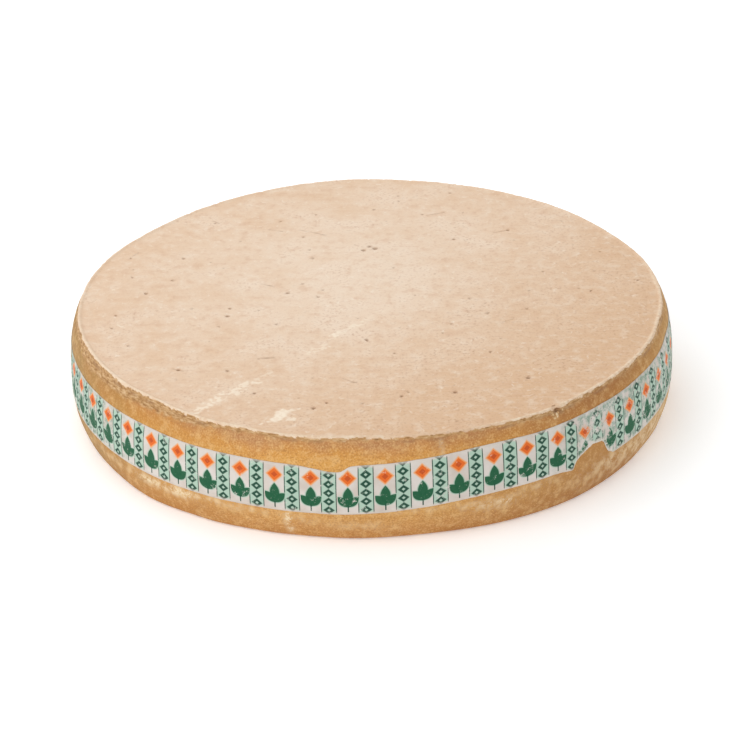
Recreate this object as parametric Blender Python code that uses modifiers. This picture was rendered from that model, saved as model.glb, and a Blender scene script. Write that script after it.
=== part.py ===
"""A whole wheel of hard, long-aged mountain cheese, with a printed paper band
glued round its heel.

The wheel lies flat on its base. The origin is the middle of the base, +Z is
up and -Y is the front. Lengths are in metres, and an angle round the wheel is
in degrees from the front, counted towards +X.
"""

import math

import bpy
from mathutils import Vector

# Driving sizes of the wheel
WHEEL_HEIGHT = 0.117
BELLY_RADIUS = 0.325
BELLY_HEIGHT = 0.044  # the heel is fullest a little below its middle
RIM_RADIUS = 0.3145
FOOT_RADIUS = 0.3136  # where the heel would meet the base with no rounding
RIM_CURVE = 2.9  # how late the heel turns in towards the rim
FOOT_CURVE = 2.5
BASE_ROUNDING = 0.007

# The raised lip that the mould leaves round the top face
LIP_WIDTH = 0.006
LIP_RISE = 0.0012
LIP_ROUNDING = 0.0022
LIP_OVERHANG = 0.0014
LIP_DEPTH = 0.0065

# Uneven stretches of the rim: middle in degrees, half width in degrees, metres outwards.
# A wheel is turned and rubbed by hand for months, and sags a little out of round.
RIM_SWELLS = (
    (-84.0, 9.0, 0.0008),
    (-46.0, 5.5, -0.0026),
    (-25.5, 3.5, -0.0015),
    (-2.0, 7.5, -0.0042),
    (33.0, 9.0, 0.0028),
    (78.0, 4.0, -0.0012),
    (122.0, 13.0, -0.0030),
    (145.0, 8.0, -0.0008),
    (187.0, 14.0, 0.0046),
    (230.0, 14.0, -0.0042),
)
RIM_SWELL_START = 0.060  # the swells of the rim fade out down to this height

# The same for the edge of the base
FOOT_SWELLS = (
    (-46.0, 10.0, 0.0046),
    (-31.0, 5.0, 0.0018),
    (-12.0, 6.0, -0.0014),
    (9.0, 11.0, -0.0034),
    (39.0, 10.0, 0.0018),
    (64.0, 6.0, -0.0012),
    (140.0, 16.0, 0.0020),
    (205.0, 18.0, -0.0022),
)

# A small nick where the lip is broken
NICK_ANGLE = 36.2
NICK_HALF_WIDTH = 0.0055
NICK_DEPTH = 0.0032

# Low waves of the top face: amplitude, wave length along X, along Y, phase
FACE_WAVES = (
    (0.00035, 0.31, 0.52, 0.4),
    (0.00030, -0.47, 0.24, 2.1),
    (0.00025, 0.19, -0.33, 3.7),
)

# The paper band
BAND_TOP = 0.0880
BAND_BOTTOM = 0.0348
BAND_THICKNESS = 0.0006
BAND_GAP = 0.0004
BAND_RISE_TOP = 0.0110  # the band climbs to the right of the front
BAND_RISE_BOTTOM = 0.0100
BAND_CLIMB = (-9.0, 25.0)
BAND_RETURN = (105.0, 175.0)  # and comes down again on the far side
BAND_DROP = 0.0066  # its lower edge falls back towards the torn arch
BAND_DROP_SPAN = (33.5, 43.5)
DIP_ANGLE = -6.9  # a dent pressed into its upper edge, steeper on its right side
DIP_DEPTH = 0.0057
DIP_HALF_WIDTHS = (4.6, 1.9)
DIP_POWERS = (2.0, 3.0)

# An arch torn out of the band's lower edge: angle, metres above the cut edge
ARCH_POINTS = (
    (38.7, 0.0),
    (39.4, 0.0085),
    (40.1, 0.0130),
    (41.4, 0.0172),
    (42.4, 0.0200),
    (43.5, 0.0220),
    (44.6, 0.0224),
    (46.0, 0.0208),
    (46.7, 0.0186),
    (47.2, 0.0140),
    (47.6, 0.0080),
    (48.2, 0.0042),
    (49.5, 0.0),
)

# Fineness of the meshes
WHEEL_STEPS = 180
BAND_STEPS = 300
BAND_ROWS = 4


def smooth_step(low, high, value):
    """0 below low, 1 above high and a soft S between them."""
    share = min(max((value - low) / (high - low), 0.0), 1.0)
    return share * share * (3.0 - 2.0 * share)


def angle_apart(angle, middle):
    """Signed difference of two angles in degrees, between -180 and 180."""
    return (angle - middle + 180.0) % 360.0 - 180.0


def angle_of(point):
    """Angle round the wheel, in degrees from the front towards +X."""
    return math.degrees(math.atan2(point.x, -point.y))


def place(radius, angle, height):
    """The point at a radius, an angle in degrees and a height."""
    turn = math.radians(angle)
    return Vector((radius * math.sin(turn), -radius * math.cos(turn), height))


def heel_radius(height):
    """Radius of the even heel at a height: a barrel, fullest at BELLY_HEIGHT."""
    if height > BELLY_HEIGHT:
        share = (height - BELLY_HEIGHT) / (WHEEL_HEIGHT - BELLY_HEIGHT)
        return BELLY_RADIUS - (BELLY_RADIUS - RIM_RADIUS) * share ** RIM_CURVE
    share = (BELLY_HEIGHT - height) / BELLY_HEIGHT
    return BELLY_RADIUS - (BELLY_RADIUS - FOOT_RADIUS) * share ** FOOT_CURVE


def swell_sum(angle, swells):
    """How far a list of swells stands out of, or in from, a true circle."""
    total = 0.0
    for middle, half_width, outwards in swells:
        away = angle_apart(angle, middle) / half_width
        total += outwards * math.exp(-away * away)
    return total


def swell_at(angle, height):
    """The swells of the rim and of the foot, each fading out towards the belly."""
    rim_share = smooth_step(RIM_SWELL_START, WHEEL_HEIGHT, height)
    foot_share = 1.0 - smooth_step(0.0, BELLY_HEIGHT, height)
    return swell_sum(angle, RIM_SWELLS) * rim_share + swell_sum(angle, FOOT_SWELLS) * foot_share


def face_wave(point):
    """Height of the low waves of the top face."""
    total = 0.0
    for amplitude, along_x, along_y, phase in FACE_WAVES:
        turn = math.tau * (point.x / along_x + point.y / along_y) + phase
        total += amplitude * math.sin(turn)
    return total


def band_lift(angle):
    """0 to 1: how far the band has climbed to the right of the front."""
    round_wheel = angle_apart(angle, 0.0)
    if round_wheel < BAND_CLIMB[0]:
        return 0.0
    return smooth_step(*BAND_CLIMB, round_wheel) * (1.0 - smooth_step(*BAND_RETURN, round_wheel))


def band_upper_edge(angle):
    """Height of the band's upper edge, with the dent at the front."""
    away = angle_apart(angle, DIP_ANGLE)
    side = 0 if away < 0.0 else 1
    dip = DIP_DEPTH * math.exp(-(abs(away) / DIP_HALF_WIDTHS[side]) ** DIP_POWERS[side])
    return BAND_TOP + BAND_RISE_TOP * band_lift(angle) - dip


def torn_arch(angle):
    """Height of the torn arch above the cut edge."""
    round_wheel = angle_apart(angle, 0.0)
    for (start, low), (end, high) in zip(ARCH_POINTS, ARCH_POINTS[1:]):
        if start <= round_wheel < end:
            return low + (high - low) * (round_wheel - start) / (end - start)
    return 0.0


def band_lower_edge(angle):
    """Height of the band's lower edge, with the torn arch."""
    lift = band_lift(angle)
    drop = BAND_DROP * smooth_step(*BAND_DROP_SPAN, angle_apart(angle, 0.0)) * lift
    return BAND_BOTTOM + BAND_RISE_BOTTOM * lift - drop + torn_arch(angle)


def wheel_profile():
    """Half outline of the wheel, from the middle of the top face down to the base."""
    face = WHEEL_HEIGHT - LIP_RISE
    points = [(share * RIM_RADIUS, face) for share in (0.0, 0.35, 0.64, 0.86)]
    points.append((RIM_RADIUS - LIP_WIDTH, face))
    points.append((RIM_RADIUS - LIP_ROUNDING, WHEEL_HEIGHT))
    points.append((RIM_RADIUS, WHEEL_HEIGHT - LIP_ROUNDING))
    under_lip = WHEEL_HEIGHT - LIP_DEPTH
    points.append((heel_radius(under_lip) - LIP_OVERHANG, under_lip))
    heel_rows = 11
    top_row = under_lip - 0.006
    for row in range(heel_rows):
        height = top_row + (BASE_ROUNDING - top_row) * row / (heel_rows - 1)
        points.append((heel_radius(height), height))
    foot = heel_radius(BASE_ROUNDING) - BASE_ROUNDING
    for turn in (30.0, 60.0, 90.0):
        out = BASE_ROUNDING * math.cos(math.radians(turn))
        down = BASE_ROUNDING * math.sin(math.radians(turn))
        points.append((foot + out, BASE_ROUNDING - down))
    points.append((0.6 * foot, 0.0))
    points.append((0.0, 0.0))
    return points


def turned_object(name, points, steps, collection):
    """Turns a half outline at +X round the Z axis with a Screw modifier, and applies it."""
    mesh = bpy.data.meshes.new(name)
    vertices = [(radius, 0.0, height) for radius, height in points]
    edges = [(index, index + 1) for index in range(len(points) - 1)]
    mesh.from_pydata(vertices, edges, [])
    piece = bpy.data.objects.new(name, mesh)
    collection.objects.link(piece)
    screw = piece.modifiers.new("turn", "SCREW")
    screw.axis = "Z"
    screw.angle = math.tau
    screw.steps = steps
    screw.render_steps = steps
    screw.use_merge_vertices = True
    screw.merge_threshold = 0.00001
    bpy.context.view_layer.objects.active = piece
    bpy.ops.object.modifier_apply(modifier=screw.name)
    return piece


def nick_at(angle):
    """0 to 1: how much of the lip the nick takes away at an angle."""
    along = math.radians(angle_apart(angle, NICK_ANGLE)) * RIM_RADIUS
    return math.exp(-(along / NICK_HALF_WIDTH) ** 2)


def make_wheel(collection):
    """The wheel itself: turned, then pushed out of round above the belly."""
    wheel = turned_object("cheese_wheel", wheel_profile(), WHEEL_STEPS, collection)
    face = WHEEL_HEIGHT - LIP_RISE
    lip_foot = RIM_RADIUS - LIP_WIDTH
    for vertex in wheel.data.vertices:
        point = vertex.co.copy()
        radius = math.hypot(point.x, point.y)
        angle = angle_of(point)
        share = min(radius / RIM_RADIUS, 1.0)
        radius += swell_at(angle, point.z) * share * share
        height = point.z
        on_face = point.z > face - 0.0001 and radius < lip_foot
        if on_face:
            height += face_wave(point) * (1.0 - share ** 4)
        if point.z > WHEEL_HEIGHT - LIP_DEPTH and not on_face:
            radius -= NICK_DEPTH * nick_at(angle) * share
            height -= 0.5 * NICK_DEPTH * nick_at(angle) * (share > 0.98)
        vertex.co = place(radius, angle, height)
    wheel.data.shade_smooth()
    return wheel


def make_band(collection):
    """The paper band: a thin ring that lies on the heel between its two wavy edges."""
    rows = [(BELLY_RADIUS, 1.0 - row / BAND_ROWS) for row in range(BAND_ROWS + 1)]
    band = turned_object("paper_band", rows, BAND_STEPS, collection)
    for vertex in band.data.vertices:
        angle = angle_of(vertex.co)
        low = band_lower_edge(angle)
        height = low + (band_upper_edge(angle) - low) * vertex.co.z
        radius = heel_radius(height) + swell_at(angle, height) + BAND_GAP + BAND_THICKNESS
        vertex.co = place(radius, angle, height)
    thickness = band.modifiers.new("thickness", "SOLIDIFY")
    thickness.thickness = BAND_THICKNESS
    thickness.offset = -1.0
    thickness.use_even_offset = True
    band.data.shade_smooth()
    return band


def make_material(name, colour, roughness):
    """A Principled material with a colour, a roughness and no metal."""
    material = bpy.data.materials.new(name)
    material.use_nodes = True
    shader = material.node_tree.nodes["Principled BSDF"]
    shader.inputs["Base Color"].default_value = (*colour, 1.0)
    shader.inputs["Roughness"].default_value = roughness
    shader.inputs["Metallic"].default_value = 0.0
    return material


def remove_old_objects():
    """Empties the scene before the model is made."""
    for old in list(bpy.data.objects):
        bpy.data.objects.remove(old)


def main():
    """Models the wheel and its band, in a collection of their own."""
    remove_old_objects()
    collection = bpy.data.collections.new("hard_cheese_wheel")
    bpy.context.scene.collection.children.link(collection)
    wheel = make_wheel(collection)
    wheel.data.materials.append(make_material("rind", (0.64, 0.36, 0.15), 0.75))
    band = make_band(collection)
    band.data.materials.append(make_material("printed_paper", (0.55, 0.57, 0.50), 0.80))


main()
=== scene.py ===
# %% [markdown]
# # A whole wheel of hard mountain cheese
#
# The object is one wheel, 65 cm across, lying on its base. Its flat top has a
# raised lip, its heel bulges, and a printed paper band is glued round it.
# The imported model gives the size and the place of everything. This lesson
# makes the surfaces that the eye sees: the rind, its crumbs, and the paper.

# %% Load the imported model
import math
import random

import bpy
import bmesh
from mathutils import Matrix, Vector, noise
from mathutils.bvhtree import BVHTree


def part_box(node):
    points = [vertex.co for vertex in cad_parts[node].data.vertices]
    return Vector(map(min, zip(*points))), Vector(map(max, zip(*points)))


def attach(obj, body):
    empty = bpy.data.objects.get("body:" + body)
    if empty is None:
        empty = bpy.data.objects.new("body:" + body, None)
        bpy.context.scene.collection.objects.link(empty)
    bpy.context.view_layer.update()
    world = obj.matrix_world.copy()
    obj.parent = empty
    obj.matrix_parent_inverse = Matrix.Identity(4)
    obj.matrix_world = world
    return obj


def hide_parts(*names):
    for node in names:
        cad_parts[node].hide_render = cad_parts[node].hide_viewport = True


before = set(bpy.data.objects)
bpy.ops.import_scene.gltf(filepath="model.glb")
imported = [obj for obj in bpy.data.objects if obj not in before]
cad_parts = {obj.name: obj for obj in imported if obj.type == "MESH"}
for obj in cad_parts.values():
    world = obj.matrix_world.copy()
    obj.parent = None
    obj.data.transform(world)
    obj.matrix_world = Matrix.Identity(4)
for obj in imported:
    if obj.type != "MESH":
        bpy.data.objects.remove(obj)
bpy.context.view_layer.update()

wheel_low, wheel_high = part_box("cheese_wheel")
print("wheel box", [round(value, 4) for value in (*wheel_low, *wheel_high)])

# %% [markdown]
# ## Small helpers
#
# Colours are picked in sRGB, as a painter's swatch, and Blender works in
# linear light, so one function turns one into the other. Another adds a
# node with its settings and its links. On top of it stand the two things
# that every colour here is made of: a tint that follows a pattern, and a
# ramp through several colours. The last ones serve the modelling.

# %% Colour and node helpers
MM = 0.001
DRY_SHINE = 0.35


def linear(swatch):
    """The linear RGBA of an sRGB hex colour."""
    channels = [int(swatch[start:start + 2], 16) / 255.0 for start in (1, 3, 5)]
    bent = [c / 12.92 if c <= 0.04045 else ((c + 0.055) / 1.055) ** 2.4 for c in channels]
    return (*bent, 1.0)


def add_node(tree, kind, inputs=None, **settings):
    """Adds a shader node, sets its settings, and fills its inputs with values or links.

    A node given as an input's value is linked from its first output.
    """
    node = tree.nodes.new("ShaderNode" + kind)
    for name, value in settings.items():
        setattr(node, name, value)
    for name, value in (inputs or {}).items():
        if isinstance(value, bpy.types.Node):
            value = value.outputs[0]
        if isinstance(value, bpy.types.NodeSocket):
            tree.links.new(value, node.inputs[name])
        else:
            node.inputs[name].default_value = value
    return node


def lay_tint(tree, colour, pattern, levels, swatch, by=None):
    """Lays a tint over a colour, more and more as a pattern goes from one level to another.

    The third of the levels is the largest share that is laid, and by makes it less in places.
    """
    start, end, most = levels
    share = add_node(tree, "MapRange", {0: pattern, 1: start, 2: end, 4: most})
    if by is not None:
        share = add_node(tree, "Math", {0: share, 1: by}, operation="MULTIPLY")
    return add_node(tree, "Mix", {0: share, 6: colour, 7: linear(swatch)}, data_type="RGBA").outputs[2]


def set_stops(ramp, steps):
    """Gives a colour ramp its stops, each as (level, swatch), and returns its colour."""
    stops = ramp.color_ramp.elements
    while len(stops) < len(steps):
        stops.new(0.5)
    for stop, (level, swatch) in zip(stops, steps):
        stop.position = level
        stop.color = linear(swatch)
    return ramp.outputs[0]


def new_material(name):
    """A new material, with its tree and its shader."""
    material = bpy.data.materials.new(name)
    material.use_nodes = True
    return material, material.node_tree, material.node_tree.nodes["Principled BSDF"]


def finish_surface(tree, shader, colour, grain, strength, depth, ior):
    """Links the colour, raises a grain as bump, and sets the low shine of a dry surface."""
    bump = add_node(tree, "Bump", {"Strength": strength, "Distance": depth, "Height": grain})
    tree.links.new(colour, shader.inputs["Base Color"])
    tree.links.new(bump.outputs[0], shader.inputs["Normal"])
    shader.inputs["IOR"].default_value = ior
    shader.inputs["Specular IOR Level"].default_value = DRY_SHINE


# %% Modelling helpers


def only(piece):
    """Selects one object, and nothing else."""
    bpy.ops.object.select_all(action="DESELECT")
    piece.select_set(True)
    bpy.context.view_layer.objects.active = piece


def subdivide_where(piece, kind, wanted, cuts, **settings):
    """Cuts up the edges or the faces of a piece for which a test holds."""
    only(piece)
    bpy.ops.object.mode_set(mode="EDIT")
    bpy.ops.mesh.select_mode(type=kind)
    bpy.ops.mesh.select_all(action="DESELECT")
    cage = bmesh.from_edit_mesh(piece.data)
    for part in cage.edges if kind == "EDGE" else cage.faces:
        if wanted(part):
            part.select_set(True)
    bmesh.update_edit_mesh(piece.data)
    bpy.ops.mesh.subdivide(number_cuts=cuts, **settings)
    bpy.ops.mesh.select_all(action="DESELECT")
    bpy.ops.object.mode_set(mode="OBJECT")
    print(piece.name, "cut up to", len(piece.data.polygons), "faces")


def smooth_step(low, high, value):
    """0 below low, 1 above high and a soft S between them."""
    share = min(max((value - low) / (high - low), 0.0), 1.0)
    return share * share * (3.0 - 2.0 * share)


def plateau(rise, fall, value):
    """Climbs from 0 to 1 over the first span, and drops back to 0 over the second."""
    return smooth_step(*rise, value) * (1.0 - smooth_step(*fall, value))


def noise_sum(point, layers):
    """The sum of soft noises at a point, each given as (height, waves in a metre)."""
    return sum(height * noise.noise(point * often) for height, often in layers)


# %% [markdown]
# ## The camera
#
# A wheel of cheese photographed from a few metres away, with a long lens:
# its far rim looks almost as wide as its near one. The camera stands in
# front, 27 degrees above the table, and is turned a little clockwise.

# %% Camera
CAMERA_DISTANCE = 3.9
CAMERA_ELEVATION = 26.93
CAMERA_YAW = 0.047
CAMERA_PITCH = -0.434
CAMERA_ROLL = -1.38
LENS = 172.5
LENS_SENSOR = 36.0


def aim_camera():
    """Adds the camera, and turns it as the photographer held it."""
    middle = Vector((0.0, 0.0, wheel_high.z / 2.0))
    rise = math.radians(CAMERA_ELEVATION)
    away = Vector((0.0, -math.cos(rise), math.sin(rise))) * CAMERA_DISTANCE
    bpy.ops.object.camera_add(location=middle + away)
    camera = bpy.context.object
    camera.name = "photo_camera"
    camera.data.lens = LENS
    camera.data.sensor_width = LENS_SENSOR
    forward = -away.normalized()
    right = Vector((1.0, 0.0, 0.0))
    up = right.cross(forward)
    forward += math.tan(math.radians(CAMERA_YAW)) * right
    forward += math.tan(math.radians(CAMERA_PITCH)) * up
    turn = forward.to_track_quat("-Z", "Y").to_matrix()
    turn = turn @ Matrix.Rotation(math.radians(CAMERA_ROLL), 3, "Z")
    camera.rotation_euler = turn.to_euler()
    bpy.context.scene.camera = camera
    print("camera at", [round(value, 3) for value in camera.location])


aim_camera()

# %% [markdown]
# ## Floor and light
#
# A plain white studio table, lit softly. A large panel on the left and
# above gives the top its even glow and lets the heel darken to the right.
# The white room fills the shadows, and a white floor throws light back
# under the bulge of the heel.

# %% Floor and light
FLOOR_SIZE = 60.0
TABLE_PAINT = {"Base Color": linear("#FAFAFA"), "Emission Color": linear("#FFFFFF"),
               "Emission Strength": 0.24, "Roughness": 0.9, "Specular IOR Level": 0.1}
PANELS = (
    # name, size, watts, place, aim
    ("left_panel", 2.8, 36.0, (-1.8, -1.5, 2.1), (0.0, 0.0, 0.05)),
    ("back_panel", 2.4, 30.5, (-0.9, 2.2, 2.5), (0.0, 0.1, 0.1)),
    ("right_panel", 1.8, 5.0, (2.4, 0.2, 1.3), (0.0, 0.0, 0.05)),
)
ROOM_LIGHT = 0.64


def make_floor():
    """A white light table, far larger than the view."""
    bpy.ops.mesh.primitive_plane_add(size=FLOOR_SIZE, location=(0.0, 2.0, 0.0))
    floor = bpy.context.object
    floor.name = "studio_table"
    paint, _, shader = new_material("opal acrylic of a light table")
    for name, value in TABLE_PAINT.items():
        shader.inputs[name].default_value = value
    floor.data.materials.append(paint)


def light_room():
    """A white room and three soft panels."""
    world = bpy.data.worlds.new("white room")
    world.use_nodes = True
    background = world.node_tree.nodes["Background"]
    background.inputs["Color"].default_value = (1.0, 1.0, 1.0, 1.0)
    background.inputs["Strength"].default_value = ROOM_LIGHT
    bpy.context.scene.world = world
    for name, size, watts, place, aim in PANELS:
        bpy.ops.object.light_add(type="AREA", location=place)
        panel = bpy.context.object
        panel.name = name
        panel.data.shape = "SQUARE"
        panel.data.size = size
        panel.data.energy = watts
        toward = Vector(aim) - Vector(place)
        panel.rotation_euler = toward.to_track_quat("-Z", "Y").to_euler()
    bpy.context.scene.view_settings.view_transform = "Standard"
    print("lights", len(PANELS))


make_floor()
light_room()

# %% [markdown]
# ## The form of the wheel
#
# The heel is a barrel: fullest a little below its middle, and turned in
# towards the rim and the foot. Months of turning and rubbing by hand leave
# it a little out of round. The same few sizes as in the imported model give
# every point of the surface from an angle, counted from the front, and a
# height. The rind, the crumbs and the paper all ask these functions where
# they lie.

# %% Sizes of the wheel
WHEEL_HEIGHT = 0.117
BELLY_RADIUS = 0.325
BELLY_HEIGHT = 0.044
RIM_RADIUS = 0.3145
FOOT_RADIUS = 0.3136
RIM_CURVE = 2.9
FOOT_CURVE = 2.5
BASE_ROUNDING = 0.007
LIP_WIDTH = 0.006
LIP_RISE = 0.0012
LIP_ROUNDING = 0.0022
LIP_OVERHANG = 0.0014
LIP_DEPTH = 0.0065
FACE_HEIGHT = WHEEL_HEIGHT - LIP_RISE

GROOVE_RISE = 0.0055
FACE_MARGIN = 0.0001

RIM_SWELLS = (
    # middle in degrees, half width in degrees, metres outwards
    (-84.0, 9.0, 0.0008), (-46.0, 5.5, -0.0026), (-25.5, 3.5, -0.0015), (-2.0, 7.5, -0.0042),
    (33.0, 9.0, 0.0028), (78.0, 4.0, -0.0012), (122.0, 13.0, -0.0030), (145.0, 8.0, -0.0008),
    (187.0, 14.0, 0.0046), (230.0, 14.0, -0.0042),
)
RIM_SWELL_START = 0.060
FOOT_SWELLS = (
    (-46.0, 10.0, 0.0046), (-31.0, 5.0, 0.0018), (-12.0, 6.0, -0.0014), (9.0, 11.0, -0.0034),
    (39.0, 10.0, 0.0018), (64.0, 6.0, -0.0012), (140.0, 16.0, 0.0020), (205.0, 18.0, -0.0022),
)
NICK_ANGLE = 36.2
NICK_HALF_WIDTH = 0.0050
NICK_DEPTH = 0.0034
FACE_WAVES = (
    # amplitude, wave length along X, wave length along Y, phase
    (0.00035, 0.31, 0.52, 0.4),
    (0.00030, -0.47, 0.24, 2.1),
    (0.00025, 0.19, -0.33, 3.7),
)


def angle_apart(angle, middle):
    """Signed difference of two angles in degrees, between -180 and 180."""
    return (angle - middle + 180.0) % 360.0 - 180.0


def angle_of(point):
    """Angle round the wheel, in degrees from the front towards +X."""
    return math.degrees(math.atan2(point[0], -point[1]))


def place(radius, angle, height):
    """The point at a radius, an angle in degrees and a height."""
    turn = math.radians(angle)
    return Vector((radius * math.sin(turn), -radius * math.cos(turn), height))


def heel_radius(height):
    """Radius of the even heel at a height."""
    if height > BELLY_HEIGHT:
        share = (height - BELLY_HEIGHT) / (WHEEL_HEIGHT - BELLY_HEIGHT)
        return BELLY_RADIUS - (BELLY_RADIUS - RIM_RADIUS) * min(share, 1.0) ** RIM_CURVE
    share = (BELLY_HEIGHT - height) / BELLY_HEIGHT
    return BELLY_RADIUS - (BELLY_RADIUS - FOOT_RADIUS) * share ** FOOT_CURVE


def swell_sum(angle, swells):
    """How far a list of swells stands out of, or in from, a true circle."""
    total = 0.0
    for middle, half_width, outwards in swells:
        away = angle_apart(angle, middle) / half_width
        total += outwards * math.exp(-away * away)
    return total


def swell_at(angle, height):
    """The swells of the rim and of the foot, each fading out towards the belly."""
    rim_share = smooth_step(RIM_SWELL_START, WHEEL_HEIGHT, height)
    foot_share = 1.0 - smooth_step(0.0, BELLY_HEIGHT, height)
    return swell_sum(angle, RIM_SWELLS) * rim_share + swell_sum(angle, FOOT_SWELLS) * foot_share


def face_wave(x, y):
    """Height of the low waves of the top face."""
    total = 0.0
    for amplitude, along_x, along_y, phase in FACE_WAVES:
        total += amplitude * math.sin(math.tau * (x / along_x + y / along_y) + phase)
    return total


# %% [markdown]
# ## The edges of the paper band
#
# The band climbs by a centimetre to the right of the front. Its upper edge
# has a dent pressed into it, and an arch is torn out of its lower edge. The
# print doesn't follow those two: it was there before the damage.

# %% Edges of the band
BAND_TOP = 0.0880
BAND_BOTTOM = 0.0348
BAND_RISE_TOP = 0.0110
BAND_RISE_BOTTOM = 0.0100
BAND_CLIMB = (-9.0, 25.0)
BAND_RETURN = (105.0, 175.0)
BAND_DROP = 0.0066
BAND_DROP_SPAN = (33.5, 43.5)
DIP_ANGLE = -6.9
DIP_DEPTH = 0.0057
DIP_HALF_WIDTHS = (4.6, 1.9)
DIP_POWERS = (2.0, 3.0)
ARCH_POINTS = (
    # angle, metres above the cut edge
    (38.7, 0.0), (39.4, 0.0085), (40.1, 0.0130), (41.4, 0.0172), (42.4, 0.0200), (43.5, 0.0220),
    (44.6, 0.0224), (46.0, 0.0208), (46.7, 0.0186), (47.2, 0.0140), (47.6, 0.0080), (48.2, 0.0042),
    (49.5, 0.0),
)


def band_lift(angle):
    """0 to 1: how far the band has climbed to the right of the front."""
    return plateau(BAND_CLIMB, BAND_RETURN, angle_apart(angle, 0.0))


def band_dip(angle):
    """Depth of the dent in the upper edge."""
    away = angle_apart(angle, DIP_ANGLE)
    side = 0 if away < 0.0 else 1
    return DIP_DEPTH * math.exp(-(abs(away) / DIP_HALF_WIDTHS[side]) ** DIP_POWERS[side])


def band_arch(angle):
    """Height of the arch torn out of the lower edge."""
    round_wheel = angle_apart(angle, 0.0)
    for (start, low), (end, high) in zip(ARCH_POINTS, ARCH_POINTS[1:]):
        if start <= round_wheel < end:
            return low + (high - low) * (round_wheel - start) / (end - start)
    return 0.0


def arch_share(angle):
    """0 to 1: whether the lower edge is torn at an angle."""
    return smooth_step(0.0004, 0.0040, band_arch(angle))


def cut_upper_edge(angle):
    """Height of the upper edge as the paper was cut."""
    return BAND_TOP + BAND_RISE_TOP * band_lift(angle)


def cut_lower_edge(angle):
    """Height of the lower edge as the paper was cut."""
    lift = band_lift(angle)
    drop = BAND_DROP * smooth_step(*BAND_DROP_SPAN, angle_apart(angle, 0.0)) * lift
    return BAND_BOTTOM + BAND_RISE_BOTTOM * lift - drop


def under_paper(angle, height):
    """1 well under the paper, 0 clear of it."""
    margin = 2.0 * MM
    upper = cut_upper_edge(angle) - band_dip(angle)
    lower = cut_lower_edge(angle) + band_arch(angle)
    return plateau((lower - margin, lower), (upper, upper + margin), height)


# %% [markdown]
# ## The rind: a turned form
#
# A wheel could be turned with Screw or Spin. Here it grows ring by ring, as
# a modeller would do it by hand: a circle in the base is extruded outwards,
# up the heel, over the lip and onto the top face. The last ring is closed
# with Grid Fill, which gives the flat top even square faces with no pole.
# Rings lie close together where relief shows, and far apart under the paper.

# %% Rings of the wheel, from the base up
WHEEL_STEPS = 720
FINE_ROW = 2.9 * MM
HIDDEN_ROW = 6.0 * MM
HIDDEN_FROM = 0.062
HIDDEN_TO = 0.080
SPLIT_BELOW = 13.0 * MM
SPLIT_INSIDE = 5.0 * MM


def base_rings():
    """Rings of the flat base and of its rounded edge, as (radius, height)."""
    foot = heel_radius(BASE_ROUNDING) - BASE_ROUNDING
    rings = [(foot * share, 0.0) for share in (0.16, 0.45, 0.75, 0.93, 1.0)]
    for turn in (72.0, 54.0, 36.0, 18.0):
        out = BASE_ROUNDING * math.cos(math.radians(turn))
        down = BASE_ROUNDING * math.sin(math.radians(turn))
        rings.append((foot + out, BASE_ROUNDING - down))
    return rings


def heel_rings():
    """Rings up the heel, from the base's edge to under the lip."""
    rings = []
    height = BASE_ROUNDING
    top = WHEEL_HEIGHT - LIP_DEPTH - GROOVE_RISE
    while height < top:
        rings.append((heel_radius(height), height))
        height += HIDDEN_ROW if HIDDEN_FROM < height < HIDDEN_TO else FINE_ROW
    return rings


def lip_rings():
    """Rings of the groove under the lip, of its round edge and of its inner slope."""
    rings = []
    under = WHEEL_HEIGHT - LIP_DEPTH
    groove = heel_radius(under) - LIP_OVERHANG
    for share in (0.25, 0.5, 0.75, 1.0):
        height = under - GROOVE_RISE * (1.0 - share)
        rings.append((heel_radius(height) - LIP_OVERHANG * smooth_step(0.0, 1.0, share), height))
    edge = WHEEL_HEIGHT - LIP_ROUNDING
    for share in (0.3, 0.6, 0.85, 1.0):
        reach = smooth_step(0.0, 1.0, share)
        rings.append((groove + (RIM_RADIUS - groove) * reach, under + (edge - under) * share))
    for turn in (22.0, 45.0, 68.0, 90.0):
        out = LIP_ROUNDING * math.cos(math.radians(turn))
        up = LIP_ROUNDING * math.sin(math.radians(turn))
        rings.append((RIM_RADIUS - LIP_ROUNDING + out, edge + up))
    crest = RIM_RADIUS - LIP_ROUNDING
    slope = LIP_WIDTH - LIP_ROUNDING
    for share in (0.25, 0.5, 0.75, 1.0):
        rings.append((crest - slope * share, WHEEL_HEIGHT - LIP_RISE * smooth_step(0.0, 1.0, share)))
    for inwards in (0.0025, 0.0055):
        rings.append((crest - slope - inwards, FACE_HEIGHT))
    return rings


rings = base_rings() + heel_rings() + lip_rings()
print("rings", len(rings), "of", WHEEL_STEPS, "points")

# %% Extrude the rings and fill the top


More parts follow.
